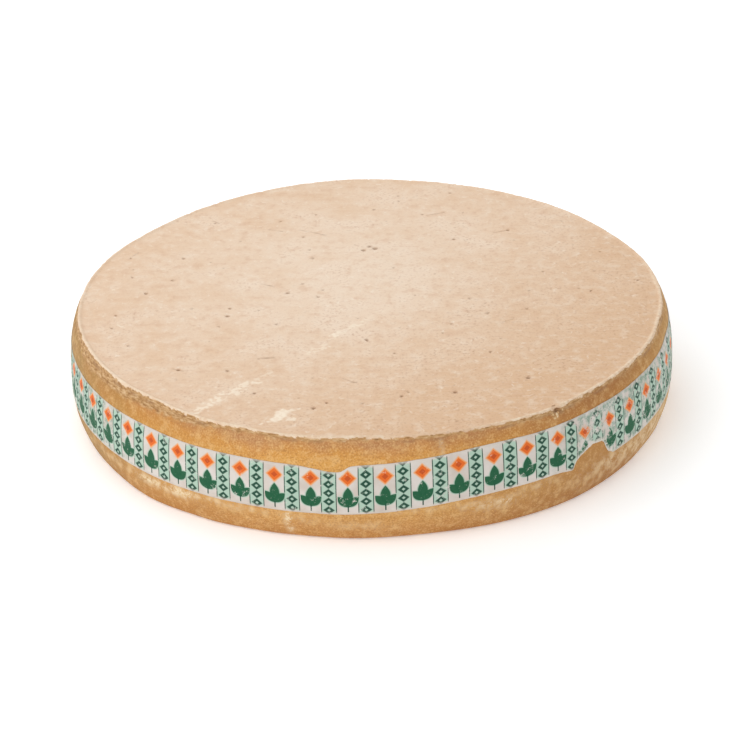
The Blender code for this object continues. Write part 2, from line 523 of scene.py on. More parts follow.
def turn_wheel():
    """Grows the wheel from a filled circle in its base, and closes the top with a grid."""
    radius, height = rings[0]
    bpy.ops.object.select_all(action="DESELECT")
    bpy.ops.mesh.primitive_circle_add(vertices=WHEEL_STEPS, radius=radius, fill_type="TRIFAN")
    piece = bpy.context.object
    piece.name = "cheese_rind"
    bpy.ops.object.mode_set(mode="EDIT")
    bpy.ops.mesh.select_mode(type="EDGE")
    bpy.ops.mesh.select_all(action="SELECT")
    bpy.ops.mesh.region_to_loop()
    for next_radius, next_height in rings[1:]:
        bpy.ops.mesh.extrude_region_move(
            TRANSFORM_OT_translate={"value": (0.0, 0.0, next_height - height)})
        share = next_radius / radius
        bpy.ops.transform.resize(value=(share, share, 1.0), center_override=(0.0, 0.0, 0.0))
        radius, height = next_radius, next_height
    bpy.ops.mesh.fill_grid(span=WHEEL_STEPS // 4)
    bpy.ops.mesh.select_all(action="SELECT")
    bpy.ops.mesh.normals_make_consistent(inside=False)
    bpy.ops.mesh.select_all(action="DESELECT")
    bpy.ops.object.mode_set(mode="OBJECT")
    print("turned wheel", len(piece.data.polygons), "faces")
    return piece


def on_lip(edge):
    """True for an edge that runs round the lip, or round the rind just below it."""
    first, second = edge.verts[0].co, edge.verts[1].co
    level = abs(first.z - second.z) < 1e-6 and first.z > WHEEL_HEIGHT - SPLIT_BELOW
    round_rim = abs(first.xy.length - second.xy.length) < 1e-5
    return level and round_rim and first.xy.length > RIM_RADIUS - SPLIT_INSIDE


rind = turn_wheel()
subdivide_where(rind, "EDGE", on_lip, 1)

# %% [markdown]
# ## Pits, scratches and scrapes of the top
#
# The top shows small dark pits where gas or a probe broke the rind, a few
# short scratches, and pale scrapes where a knife or a shelf took off the
# coloured skin. The larger ones have their own places. The rest follow a
# seeded draw, so that every run puts them in the same spots. The faces near
# them are subdivided first, because a pit of 3 mm needs faces under 1 mm.

# %% Places of the marks
LARGE_PITS = (
    # x, y, radius in millimetres
    (7, 130, 2.6), (-6, 126, 2.2), (1, 136, 1.6), (-89, 24, 1.8), (-56, 12, 1.5), (-243, 30, 1.9),
    (-205, 116, 1.6), (-151, -10, 1.6), (-153, -29, 2.1), (-201, -153, 2.0), (-150, -158, 1.6),
    (-60, -245, 1.9), (-5, -92, 1.7), (-47, -234, 1.2), (-121, -209, 1.6), (-260, 71, 1.2),
    (-216, 61, 1.1), (-273, -22, 1.3), (7, 233, 1.3), (-99, 207, 1.1), (-59, 223, 1.1),
    (-173, 207, 1.0), (-264, 120, 1.2), (24, -126, 1.1), (239, 12, 1.3), (291, 34, 1.3),
    (85, -217, 1.9), (161, -190, 2.1), (30, -223, 1.5), (95, 151, 1.7), (156, 171, 1.6),
)
SCRATCHES = (
    # start x, start y, end x, end y, half width in millimetres
    (-112, 186, -96, 180, 0.8), (-78, 184, -48, 168, 0.7), (-208, -150, -196, -156, 1.1),
    (-103, -130, -114, -131, 1.9), (-176, 214, -168, 206, 0.8), (-262, 126, -256, 134, 0.7),
    (66, 214, 86, 222, 0.8), (140, -60, 152, -52, 0.6), (-118, 49, -104, 42, 1.0),
    (140, 166, 154, 170, 0.9), (-30, -180, -18, -190, 0.7),
)
SCRAPES = (
    # start x, start y, end x, end y, half width in millimetres, strength
    (-181, -248, -168, -231, 4.2, 0.72), (-168, -231, -151, -208, 5.6, 0.76), (-154, -216, -134, -196, 8.0, 0.70),
    (-134, -190, -120, -184, 5.6, 0.66), (-120, -178, -106, -163, 3.0, 0.40), (-66, -121, -46, -104, 4.4, 0.50),
    (-40, -85, -36, -79, 5.2, 0.76), (-32, -74, -6, -50, 4.2, 0.56), (-6, -46, 16, -22, 3.0, 0.26),
    (-114, -276, -104, -267, 3.0, 0.70), (-97, -266, -92, -253, 6.8, 0.94), (-88, -270, -80, -268, 3.0, 0.70),
    (-90, -252, -76, -246, 2.4, 0.66), (-104, -200, -96, -196, 1.6, 0.40), (-262, -50, -268, -46, 2.0, 0.60),
    (-289, 90, -284, 96, 2.0, 0.60), (-282, 40, -272, 47, 2.0, 0.50), (-110, -152, -104, -140, 2.4, 0.45),
)
SMALL_PITS = 56
TOP_SEED = 7
MARK_REACH = 0.296
MARK_MARGIN = 1.2 * MM


# Vector noise starts from the clock unless it is given a seed.
noise.seed_set(TOP_SEED)


def scatter_pits():
    """The large pits, and smaller ones at random over the top, in metres."""
    draw = random.Random(TOP_SEED)
    pits = [(x * MM, y * MM, size * MM, 1.0) for x, y, size in LARGE_PITS]
    while len(pits) < len(LARGE_PITS) + SMALL_PITS:
        radius = MARK_REACH * math.sqrt(draw.random())
        turn = draw.uniform(0.0, math.tau)
        size = draw.uniform(0.8, 1.5) * MM
        spot = (radius * math.sin(turn), -radius * math.cos(turn), size, draw.uniform(0.25, 0.7))
        pits.append(spot)
    return pits


def from_line(x, y, start_x, start_y, end_x, end_y):
    """Distance of a point to a line between two points."""
    across_x, across_y = end_x - start_x, end_y - start_y
    length = across_x * across_x + across_y * across_y
    share = ((x - start_x) * across_x + (y - start_y) * across_y) / length
    share = min(max(share, 0.0), 1.0)
    return math.hypot(x - start_x - share * across_x, y - start_y - share * across_y)


pits = scatter_pits()
scratches = [[value * MM for value in scratch] for scratch in SCRATCHES]
scrapes = [[*(value * MM for value in scrape[:5]), scrape[5]] for scrape in SCRAPES]
print("pits", len(pits), "scratches", len(scratches), "scrapes", len(scrapes))

# %% Subdivide the top near its marks


def near_mark(x, y):
    """True near a pit, a scratch or a scrape."""
    for pit_x, pit_y, size, _ in pits:
        if math.hypot(x - pit_x, y - pit_y) < size + MARK_MARGIN:
            return True
    for mark in scratches + [scrape[:5] for scrape in scrapes]:
        if from_line(x, y, *mark[:4]) < mark[4] + MARK_MARGIN:
            return True
    return False


def holds_mark(face):
    """True for a face of the top that has a mark on it or close by."""
    middle = face.calc_center_median()
    on_top = middle.z > FACE_HEIGHT - FACE_MARGIN and face.normal.z > 0.9
    return on_top and near_mark(middle.x, middle.y)


subdivide_where(rind, "FACE", holds_mark, 3, quadcorner="INNERVERT")

# %% [markdown]
# ## Out of round, and the relief of the rind
#
# First the rim and the foot are pushed out of round. Then each point moves
# along its normal: by soft noise on the heel and the top, and by rough
# noise where the rind under the lip is torn and crumbly. Noise of a few
# millimetres is real geometry, and what is finer is left to the material.

# %% How torn the rind is under the lip
TORN_STRETCHES = (
    # middle in degrees, half width, depth below the lip in millimetres
    (-62.0, 20.0, 13.0), (-38.0, 10.0, 7.0), (-12.0, 16.0, 5.0), (16.0, 12.0, 3.5), (36.0, 8.0, 7.0),
    (58.0, 14.0, 4.5), (80.0, 12.0, 5.0), (115.0, 22.0, 6.0), (160.0, 20.0, 8.5), (205.0, 22.0, 6.5),
    (250.0, 20.0, 9.0),
)
TORN_LEAST = 2.5
TORN_EDGE = (
    # height in millimetres, waves in a metre, as in all layers of relief below
    (2.64, 160.0), (1.44, 420.0),
)


def torn_depth(angle):
    """How far down from the lip the rind is torn, in metres."""
    total = TORN_LEAST
    for middle, half_width, depth in TORN_STRETCHES:
        away = angle_apart(angle, middle) / half_width
        total += (depth - TORN_LEAST) * math.exp(-away * away)
    return total * MM


def torn_at(point, angle):
    """0 to 1: how torn the rind is at a point of the heel."""
    below = WHEEL_HEIGHT - 0.6 * MM - point.z
    depth = torn_depth(angle) + MM * noise_sum(point, TORN_EDGE)
    return plateau((-0.6 * MM, 0.9 * MM), (depth - 1.6 * MM, depth + 0.8 * MM), below)


# %% Move the points
HEEL_BUMPS = ((0.30, 1.0 / 0.045),)
HEEL_CRUST = ((0.22, 1.0 / 0.007), (0.12, 1.0 / 0.0033))
TOP_BUMPS = ((0.22, 55.0), (0.14, 150.0), (0.07, 330.0))
SCRAPE_FLAKES = ((1.0, 250.0), (0.6, 110.0))
CHIP_COUNT = 60


def nick_at(angle):
    """0 to 1: how much of the lip the nick takes away at an angle."""
    along = math.radians(angle_apart(angle, NICK_ANGLE)) * RIM_RADIUS
    return math.exp(-(along / NICK_HALF_WIDTH) ** 2)


def chips_round_rim():
    """Small chips broken out of the lip: angle, half width in degrees, depth in metres."""
    draw = random.Random(TOP_SEED + 1)
    chips = []
    for _ in range(CHIP_COUNT):
        chips.append((draw.uniform(-180.0, 180.0), draw.uniform(0.15, 0.6), draw.uniform(0.15, 0.65) * MM))
    return chips


chips = chips_round_rim()


def chip_at(angle):
    """Depth of the chips at an angle."""
    total = 0.0
    for middle, half_width, depth in chips:
        away = angle_apart(angle, middle) / half_width
        if abs(away) < 3.0:
            total += depth * math.exp(-away ** 4)
    return total


def shaped_point(point):
    """A point of the even wheel, moved out of round."""
    radius = math.hypot(point.x, point.y)
    if radius < 1e-6:
        return point.copy()
    angle = angle_of(point)
    share = min(radius / RIM_RADIUS, 1.0)
    height = point.z
    on_face = point.z > FACE_HEIGHT - FACE_MARGIN and radius < RIM_RADIUS - LIP_WIDTH + FACE_MARGIN
    out = radius + swell_at(angle, point.z) * share * share
    if on_face:
        height += face_wave(point.x, point.y) * (1.0 - share ** 4)
    if point.z > WHEEL_HEIGHT - LIP_DEPTH and radius > RIM_RADIUS - LIP_WIDTH:
        nick = nick_at(angle)
        edge = smooth_step(RIM_RADIUS - LIP_WIDTH, RIM_RADIUS - LIP_ROUNDING, radius)
        out -= (NICK_DEPTH * nick + chip_at(angle)) * edge
        height -= (0.6 * NICK_DEPTH * nick + 0.5 * chip_at(angle)) * edge
    return place(out, angle, height)


def heel_relief(point, angle):
    """Soft relief of the heel, in metres along its normal, with the paper's share taken out."""
    bare = 1.0 - under_paper(angle, point.z)
    return MM * (noise_sum(point, HEEL_BUMPS) + noise_sum(point, HEEL_CRUST) * bare)


def lip_relief(point, torn):
    """Rough relief of the lip and of the torn rind below it, mostly inwards."""
    broad = noise.noise(point * 110.0)
    crumb = 0.35 - abs(noise.noise(point * 380.0))
    fine = noise.noise(point * 760.0)
    near_lip = smooth_step(WHEEL_HEIGHT - 4.0 * MM, WHEEL_HEIGHT - 1.0 * MM, point.z)
    rough = torn * (0.16 * broad + 0.20 * crumb + 0.13 * fine - 0.06)
    return MM * (rough + near_lip * (0.20 * broad + 0.18 * fine - 0.32))


def scrape_at(x, y):
    """0 to 1: where a scrape has taken the skin off, in ragged flakes."""
    point = Vector((x, y, 0.0))
    stray = noise.noise_vector(point * 150.0) * 4.0 * MM
    flakes = smooth_step(-0.18, 0.14, noise_sum(point, SCRAPE_FLAKES))
    most = 0.0
    for scrape in scrapes:
        away = from_line(x + stray.x, y + stray.y, *scrape[:4])
        if away < 1.3 * scrape[4]:
            share = 1.0 - smooth_step(0.6 * scrape[4], 1.3 * scrape[4], away)
            most = max(most, scrape[5] * share * max(flakes, 2.6 * scrape[5] - 1.7))
    return most


def face_relief(x, y):
    """Relief of the top face: low bumps, pits, scratches and scrapes."""
    height = MM * noise_sum(Vector((x, y, 0.0)), TOP_BUMPS)
    for pit_x, pit_y, size, depth in pits:
        away = math.hypot(x - pit_x, y - pit_y) / size
        if away < 2.5:
            height -= 1.1 * size * depth * math.exp(-away ** 3)
            height += 0.12 * size * math.exp(-((away - 1.5) / 0.4) ** 2)
    for mark in scratches:
        away = from_line(x, y, *mark[:4])
        height -= 0.25 * MM * math.exp(-(away / mark[4]) ** 2)
    height += 0.20 * MM * scrape_at(x, y)
    return height


def shape_rind(piece):
    """Pushes the wheel out of round and gives it its relief."""
    mesh = piece.data
    for vertex in mesh.vertices:
        vertex.co = shaped_point(vertex.co)
    mesh.update()
    moves = []
    for vertex in mesh.vertices:
        point = vertex.co
        radius = math.hypot(point.x, point.y)
        angle = angle_of(point)
        top = smooth_step(0.75, 0.95, vertex.normal.z)
        base = 1.0 - smooth_step(0.0, 9.0 * MM, point.z)
        if vertex.normal.z > 0.95 and radius < RIM_RADIUS - 3.0 * LIP_WIDTH:
            moves.append(Vector((0.0, 0.0, face_relief(point.x, point.y))))
            continue
        torn = torn_at(point, angle) * (1.0 - top)
        out = heel_relief(point, angle) * (1.0 - top) + lip_relief(point, torn)
        out += face_relief(point.x, point.y) * top
        moves.append(vertex.normal * (out * (1.0 - base)))
    for vertex, move in zip(mesh.vertices, moves):
        vertex.co += move
    for vertex in mesh.vertices:
        vertex.co.z = min(max(vertex.co.z, 0.0), WHEEL_HEIGHT)
    mesh.update()
    mesh.shade_smooth()
    low = min(vertex.co.z for vertex in mesh.vertices)
    high = max(vertex.co.z for vertex in mesh.vertices)
    print("rind from", round(low, 5), "to", round(high, 5))


shape_rind(rind)

# %% [markdown]
# ## Masks for the colours
#
# The colours follow the form: the pits are dark, the scrapes and the lip
# are pale, and the torn rind is grey brown. The pit mask also paints shade
# in the nick's hollow and a shadow line under the lip. Each of these is stored on the
# points as a number from 0 to 1, which the material reads as an attribute.

# %% Masks on the rind
BLOOMS = (
    # angle in degrees, height in mm, half width, half height, strength: pale dry salt on the heel
    (-15.8, 22.0, 0.65, 14.0, 1.40), (-12.5, 26.0, 2.5, 5.0, 0.25), (12.3, 104.0, 0.35, 9.0, 0.60),
    (-33.5, 31.0, 6.0, 3.0, 0.40), (-38.0, 27.0, 3.0, 5.0, 0.50), (-45.5, 27.0, 3.0, 4.0, 0.50),
    (-24.0, 29.0, 5.0, 4.0, 0.30), (22.0, 30.0, 4.4, 7.0, 0.42), (24.6, 31.5, 1.6, 3.6, 0.50),
    (18.0, 34.0, 3.6, 5.0, 0.26), (8.0, 36.0, 6.0, 3.0, 0.22), (31.0, 38.0, 4.0, 4.0, 0.30),
    (48.0, 30.0, 6.0, 8.0, 0.20), (-58.0, 25.0, 6.0, 4.0, 0.28), (-3.0, 20.0, 5.0, 5.0, 0.20),
    (95.0, 28.0, 6.0, 5.0, 0.50), (130.0, 24.0, 4.0, 7.0, 0.60), (168.0, 29.0, 6.0, 4.0, 0.70),
    (205.0, 26.0, 4.0, 6.0, 0.50), (240.0, 28.0, 6.0, 4.0, 0.70), (150.0, 104.0, 0.8, 8.0, 0.50),
    (222.0, 102.0, 0.8, 9.0, 0.40), (-42.0, 29.0, 9.0, 7.0, 0.36), (66.0, 24.0, 20.0, 18.0, 0.55),
)


def bloom_at(angle, height):
    """0 to 1: dry pale salt on the heel."""
    total = 0.0
    for middle, high, half_width, half_height, strength in BLOOMS:
        across = angle_apart(angle, middle) / half_width
        up = (height / MM - high) / half_height
        total += strength * math.exp(-across * across - up * up)
    return min(total, 1.0)


def store_mask(mesh, name, values):
    """Stores one number for each point, for the material to read."""
    layer = mesh.attributes.new(name, "FLOAT", "POINT")
    layer.data.foreach_set("value", values)


def mark_masks(x, y):
    """Pit and scrape masks of a point of the top."""
    pit = 0.0
    for pit_x, pit_y, size, depth in pits:
        away = math.hypot(x - pit_x, y - pit_y) / size
        if away < 2.5:
            pit = max(pit, (0.25 + 0.60 * depth) * math.exp(-(away * 0.95) ** 3))
    for mark in scratches:
        away = from_line(x, y, *mark[:4])
        broken = 0.36 + 0.36 * noise.noise(Vector((x, y, 0.0)) * 160.0)
        pit = max(pit, broken * math.exp(-(away / mark[4]) ** 2))
    return pit, scrape_at(x, y)


# The pit mask also carries painted shade: the nick's hollow and a shadow line under the lip.
RIND_MASKS = ("top", "torn", "lip", "pit", "scrape", "bloom")
LIP_EDGE = ((0.2, 330.0), (0.4, 90.0))
NICK_SHADE = 0.72
NICK_HOLLOW = (0.1070, 0.1100)
# A painted shadow line in the groove under the lip, broken along the rim.
GROOVE_SHADE = 0.55
GROOVE_HEIGHT = 0.1112
GROOVE_HALF_WIDTH = 0.0012
RUBBED_LEFT = ((-92.0, -74.0), (-6.0, 12.0))
RUBBED_RIGHT = ((14.0, 26.0), (94.0, 112.0))
LIP_FADE = 2.2
TOP_EDGE_DEPTH = 4.0 * MM


def rim_noise(angle, often, row):
    """Soft noise along the rim: often in a degree, and another row for another use."""
    return noise.noise(Vector((angle * often, row, 0.0)))


def painted_shade_at(angle, height):
    """0 to 1: brown painted shade in the hollow of the nick, and a brown painted shadow line in the groove under
    the lip.
    """
    nick = NICK_SHADE * nick_at(angle) * smooth_step(*NICK_HOLLOW, height)
    groove = math.exp(-((height - GROOVE_HEIGHT) / GROOVE_HALF_WIDTH) ** 2)
    groove *= smooth_step(0.45, 0.75, 0.5 + rim_noise(angle, 0.22, 9.0))
    return max(nick, GROOVE_SHADE * groove)


def lip_strength(angle):
    """How pale the lip is: rubbed clean from the left to the front, and at the right."""
    rubbed = max(plateau(*RUBBED_LEFT, angle), 1.1 * plateau(*RUBBED_RIGHT, angle))
    return (0.22 + 0.62 * rubbed) * (0.75 + 0.5 * rim_noise(angle, 0.35, 5.0))


def lip_at(angle, from_rim):
    """0 to 1: how pale the lip is at a distance in from the rim."""
    wide = 1.9 + 1.4 * rim_noise(angle, 0.13, 2.0) + 1.3 * smooth_step(*RUBBED_RIGHT[0], angle)
    share = 1.0 - smooth_step(wide * MM, (wide + LIP_FADE) * MM, from_rim)
    return share * lip_strength(angle) * (1.0 - nick_at(angle))


def mask_rind(piece):
    """Works out every mask of the rind."""
    mesh = piece.data
    rows = []
    for vertex in mesh.vertices:
        point = vertex.co
        angle = angle_of(point)
        radius = math.hypot(point.x, point.y) - swell_at(angle, point.z)
        ragged = (0.45 + noise_sum(point, LIP_EDGE)) * MM
        if point.z > WHEEL_HEIGHT - TOP_EDGE_DEPTH and radius < RIM_RADIUS - ragged:
            pit, scrape_mask = mark_masks(point.x, point.y)
            rows.append((1.0, 0.0, lip_at(angle, RIM_RADIUS - radius), pit, scrape_mask, 0.0))
        else:
            # Painted shade of the nick's hollow and of the groove, stored in the pit mask.
            hollow = painted_shade_at(angle, point.z)
            rows.append((0.0, torn_at(point, angle), 0.0, hollow, 0.0, bloom_at(angle, point.z)))
    for name, values in zip(RIND_MASKS, zip(*rows)):
        store_mask(mesh, name, values)
    print("masks", RIND_MASKS)


mask_rind(rind)

# %% [markdown]
# ## The rind's colours
#
# Natural rind is a dry crust of yeasts, moulds and salt, rubbed with brine
# for months. On the top it has gone pinkish beige, and where hands and
# shelves rub it, it is paler. Its paler middle and darker front right are
# partly painted light and shade. The heel keeps an ochre colour, browner under
# the lip and paler near the foot, with painted shade to the right and painted
# light at the far right. It is matt, so its roughness is high,
# with a fine grain of about 2 mm that shows as speckles and as bump.

# %% Colour of the top
RIND_IOR = 1.45
TOP_MIDDLE = (-12.0 * MM, 55.0 * MM, 0.0)
TOP_REACH = (0.37, 0.37, 10.0)
TOP_PATCH = 60.0 * MM
TOP_BLOTCH = 13.0 * MM
TOP_GRAIN = 3.4 * MM
TOP_FLECK = 6.0 * MM
BRUSH_TURN = (0.0, 0.0, 0.35)
BRUSH_MARK = (1.0 / (50.0 * MM), 1.0 / (4.0 * MM), 1.0)
# Direction of the painted shade across the top, darker to the front right, partly a tan of the rind; the brown
# freckles also grow denser along it.
TANNED_AND_SHADED_SIDE = (0.78, -0.62, 0.0)


def top_colour(tree, spot):
    """Pinkish beige, creamier in the middle partly as painted light, darker to the front right partly as painted
    shade, with brush marks, brown freckles and pale flecks.
    """
    patch = add_node(tree, "TexNoise", {"Vector": spot, "Scale": 1.0 / TOP_PATCH, "Detail": 4.0})
    blotch = add_node(tree, "TexNoise", {"Vector": spot, "Scale": 1.0 / TOP_BLOTCH, "Detail": 5.0})
    grain = add_node(tree, "TexNoise", {"Vector": spot, "Scale": 1.0 / TOP_GRAIN, "Detail": 3.0})
    fleck = add_node(tree, "TexNoise", {"Vector": spot, "Scale": 1.0 / TOP_FLECK, "Detail": 3.0,
                                        "Distortion": 0.8})
    strokes = add_node(tree, "Mapping", {"Vector": spot, "Rotation": BRUSH_TURN, "Scale": BRUSH_MARK})
    brush = add_node(tree, "TexNoise", {"Vector": strokes, "Scale": 1.0, "Detail": 3.0, "Distortion": 0.4})
    centred = add_node(tree, "Mapping", {"Vector": spot, "Location": TOP_MIDDLE, "Scale": TOP_REACH},
                       vector_type="TEXTURE")
    away = add_node(tree, "VectorMath", {0: centred}, operation="LENGTH").outputs["Value"]
    away = add_node(tree, "Math", {0: patch, 1: -1.7, 2: away}, operation="MULTIPLY_ADD")
    across = add_node(tree, "VectorMath", {0: spot, 1: TANNED_AND_SHADED_SIDE}, operation="DOT_PRODUCT").outputs["Value"]
    dense = add_node(tree, "MapRange", {0: across, 1: -0.12, 2: 0.22, 3: 0.15, 4: 0.40})
    cluster = add_node(tree, "MapRange", {0: patch, 1: 0.52, 2: 0.62, 4: 0.26})
    dense = add_node(tree, "Math", {0: dense, 1: cluster}, operation="ADD")
    # Paler towards a middle set back from the centre: partly the rind's own cream, partly a painted pool of
    # light.
    colour = lay_tint(tree, linear("#E0C0A1"), away, (0.15, -0.75, 1.0), "#EAD4BD")
    # Darker to the front right: partly a tan of the rind, partly painted shade where less light falls.
    colour = lay_tint(tree, colour, across, (0.02, 0.26, 0.62), "#D6AF88")
    colour = lay_tint(tree, colour, blotch, (0.52, 0.72, 0.50), "#EBD8C3")
    colour = lay_tint(tree, colour, blotch, (0.47, 0.31, 0.38), "#D3AC8C")
    colour = lay_tint(tree, colour, brush, (0.52, 0.76, 0.18), "#EDDBC7")
    colour = lay_tint(tree, colour, grain, (0.52, 0.72, 1.0), "#B98F70", by=dense)
    return lay_tint(tree, colour, fleck, (0.60, 0.74, 0.42), "#F5E8D8")


# %% Colour of the heel
HEEL_COLOURS = (
    # height in millimetres, colour
    (0.0, "#BA824A"), (5.0, "#C18949"), (14.0, "#C79153"), (32.0, "#D09B58"),
    (60.0, "#DBA760"), (88.0, "#D89F52"), (98.0, "#D1954B"), (106.0, "#C88F54"), (112.0, "#BE8A5A"),
)
HEEL_SIDE_TINTS_AND_SHADE = (
    # from X, to X, share, colour: darker to the right as painted shade, paler at the far right as painted light,
    # browner and greyer to the far left, partly painted shade
    (0.04, 0.22, 0.64, "#9A6530"), (0.25, 0.32, 0.45, "#D0AA66"),
    (-0.10, -0.26, 0.46, "#A86E2A"), (-0.23, -0.325, 0.72, "#937A4A"),
)
HEEL_PATCH = 34.0 * MM
HEEL_BLOTCH = 9.0 * MM
HEEL_GRAIN = 1.8 * MM
STREAK = (1.0 / (26.0 * MM), 1.0 / (26.0 * MM), 1.0 / (2.2 * MM))
RAMP_HEIGHT = 120.0
SIDE_SWAY = 0.10


def heel_colour(tree, spot, bloom):
    """Ochre, browner under the lip and at the foot, wiped in streaks, with pale salt, and painted shade and light
    across its sides.

    Its grain is strongest in front, and softer towards the sides.
    """
    patch = add_node(tree, "TexNoise", {"Vector": spot, "Scale": 1.0 / HEEL_PATCH, "Detail": 4.0})
    blotch = add_node(tree, "TexNoise", {"Vector": spot, "Scale": 1.0 / HEEL_BLOTCH, "Detail": 4.0})
    grain = add_node(tree, "TexNoise", {"Vector": spot, "Scale": 1.0 / HEEL_GRAIN, "Detail": 3.0})
    wiped = add_node(tree, "Mapping", {"Vector": spot, "Scale": STREAK})
    streak = add_node(tree, "TexNoise", {"Vector": wiped, "Scale": 1.0, "Detail": 3.0})
    parts = add_node(tree, "SeparateXYZ", {0: spot})
    sway = add_node(tree, "MapRange", {0: patch, 1: 0.3, 2: 0.7, 3: -0.006, 4: 0.006})
    height = add_node(tree, "Math", {0: parts.outputs["Z"], 1: sway}, operation="ADD")
    share = add_node(tree, "Math", {0: height, 1: RAMP_HEIGHT * MM}, operation="DIVIDE")
    colour = set_stops(add_node(tree, "ValToRGB", {0: share}),
                       [(level / RAMP_HEIGHT, swatch) for level, swatch in HEEL_COLOURS])
    across = add_node(tree, "Math", {0: patch, 1: SIDE_SWAY, 2: parts.outputs["X"]}, operation="MULTIPLY_ADD")
    middle = SIDE_SWAY / 2.0
    # Painted shade to the right and towards the far left, and painted light at the far right, mixed with the
    # rind's own tints.
    for start, end, most, swatch in HEEL_SIDE_TINTS_AND_SHADE:
        colour = lay_tint(tree, colour, across, (start + middle, end + middle, most), swatch)
    aside = add_node(tree, "Math", {0: across, 1: middle}, operation="SUBTRACT")
    aside = add_node(tree, "Math", {0: aside}, operation="ABSOLUTE")
    grainy = add_node(tree, "MapRange", {0: aside, 1: 0.12, 2: 0.26, 3: 0.60, 4: 0.34})
    colour = lay_tint(tree, colour, blotch, (0.48, 0.70, 0.42), "#E9C388")
    colour = lay_tint(tree, colour, streak, (0.54, 0.74, 0.34), "#A8763F")
    colour = lay_tint(tree, colour, grain, (0.51, 0.70, grainy), "#A4693A")
    colour = lay_tint(tree, colour, grain, (0.47, 0.29, grainy), "#E3BC80")
    ragged = add_node(tree, "Math", {0: blotch, 1: grain}, operation="ADD")
    return lay_tint(tree, colour, ragged, (0.86, 1.12, 1.3), "#E7D1AC", by=bloom)


# %% Colour of the torn rind
TORN_COLOURS = ((0.32, "#946A40"), (0.43, "#AE8454"), (0.53, "#C19868"), (0.67, "#D5B48A"))
TORN_CRUMB = (1.0 / (6.5 * MM), 1.0 / (6.5 * MM), 1.0 / (1.8 * MM))


def torn_colour(tree, spot):
    """Mottled ochre brown and pale pink, in thin layers: the broken edge of the crust."""
    layered = add_node(tree, "Mapping", {"Vector": spot, "Scale": TORN_CRUMB})
    crumb = add_node(tree, "TexNoise", {"Vector": layered, "Scale": 1.0, "Detail": 3.0, "Roughness": 0.6})
    return set_stops(add_node(tree, "ValToRGB", {0: crumb}), TORN_COLOURS)


# %% Rind material
# The pit colour also paints the shade of the nick's hollow and of the groove under the lip.
MARK_COLOURS = (("lip", "#EEDCC2"), ("scrape", "#F5E6D0"), ("pit", "#8E6749"))
RUBBED_GRAIN = 4.0 * MM
RIND_GRAIN = 2.0 * MM


def make_rind_material():
    """Dry washed rind: zones of colour under one matt, grainy surface."""
    material, tree, shader = new_material("natural washed cheese rind")
    spot = add_node(tree, "TexCoord").outputs["Object"]
    masks = {name: add_node(tree, "Attribute", attribute_name=name).outputs["Fac"] for name in RIND_MASKS}
    ragged = add_node(tree, "TexNoise", {"Vector": spot, "Scale": 1.0 / RUBBED_GRAIN, "Detail": 3.0})
    ragged = add_node(tree, "MapRange", {0: ragged, 1: 0.38, 2: 0.58, 3: 0.35})
    masks["lip"] = add_node(tree, "Math", {0: masks["lip"], 1: ragged}, operation="MULTIPLY")
    layers = [("torn", torn_colour(tree, spot)), ("top", top_colour(tree, spot))]
    layers += [(name, linear(swatch)) for name, swatch in MARK_COLOURS]
    colour = heel_colour(tree, spot, masks["bloom"])
    for name, over in layers:
        colour = add_node(tree, "Mix", {0: masks[name], 6: colour, 7: over}, data_type="RGBA").outputs[2]
    grain = add_node(tree, "TexNoise", {"Vector": spot, "Scale": 1.0 / RIND_GRAIN, "Detail": 4.0,
                                        "Roughness": 0.62})
    rough = add_node(tree, "MapRange", {0: grain, 1: 0.3, 2: 0.7, 3: 0.60, 4: 0.80})
    tree.links.new(rough.outputs[0], shader.inputs["Roughness"])
    finish_surface(tree, shader, colour, grain, 0.55, 0.5 * MM, RIND_IOR)
    print("material", material.name, len(tree.nodes), "nodes")
    return material


rind.data.materials.clear()
rind.data.materials.append(make_rind_material())
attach(rind, "root")
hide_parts("cheese_wheel")

# %% [markdown]
# ## Crumbs on the lip
#
# The crust under the lip breaks away in crumbs of a millimetre or two, and
# hangs in larger flaps below the nick. One crumb would be too regular, so
# four are shaped from a small icosphere of twenty faces each. Copies are
# turned, sized and pressed into the rind, then joined into one piece.

# %% Four crumbs
CRUMB_SEED = 23
CRUMB_KINDS = 4


def model_crumb(draw):
    """An uneven, slightly flat crumb, about one unit across."""
    bpy.ops.object.select_all(action="DESELECT")
    bpy.ops.mesh.primitive_ico_sphere_add(subdivisions=1, radius=0.5)
    crumb = bpy.context.object
    bpy.ops.object.mode_set(mode="EDIT")
    bpy.ops.transform.resize(value=(1.0, draw.uniform(0.65, 0.9), draw.uniform(0.5, 0.7)))
    bpy.ops.object.mode_set(mode="OBJECT")
    for vertex in crumb.data.vertices:
        vertex.co *= draw.uniform(0.78, 1.22)
    return crumb


crumb_draw = random.Random(CRUMB_SEED)
crumb_kinds = [model_crumb(crumb_draw) for _ in range(CRUMB_KINDS)]
print("crumb faces", [len(crumb.data.polygons) for crumb in crumb_kinds])

# %% Scatter them along the lip
CRUMB_COUNT = 1700
SALT_CRUMBS = 9
SALTY = 0.65
CRUMBS_FROM = 1.8 * MM
FLAPS = (
    # angle, height in mm, size along X, Y, Z in mm, tone
    (35.8, 108.9, 4.2, 2.8, 7.0, 0.84), (35.2, 106.8, 5.0, 2.2, 3.4, 0.76), (36.2, 110.6, 3.2, 3.0, 3.6, 0.60),
    (35.0, 110.6, 2.8, 2.6, 3.4, 0.76), (34.9, 112.4, 2.4, 2.0, 2.0, 0.80), (37.3, 112.2, 2.2, 1.8, 2.6, 0.84),
    (23.6, 34.0, 2.2, 1.0, 2.4, 0.86), (24.7, 31.5, 1.8, 1.0, 2.0, 0.86), (22.2, 36.0, 1.4, 0.8, 1.4, 0.80),
    (20.6, 31.0, 1.5, 0.8, 1.3, 0.80),
)


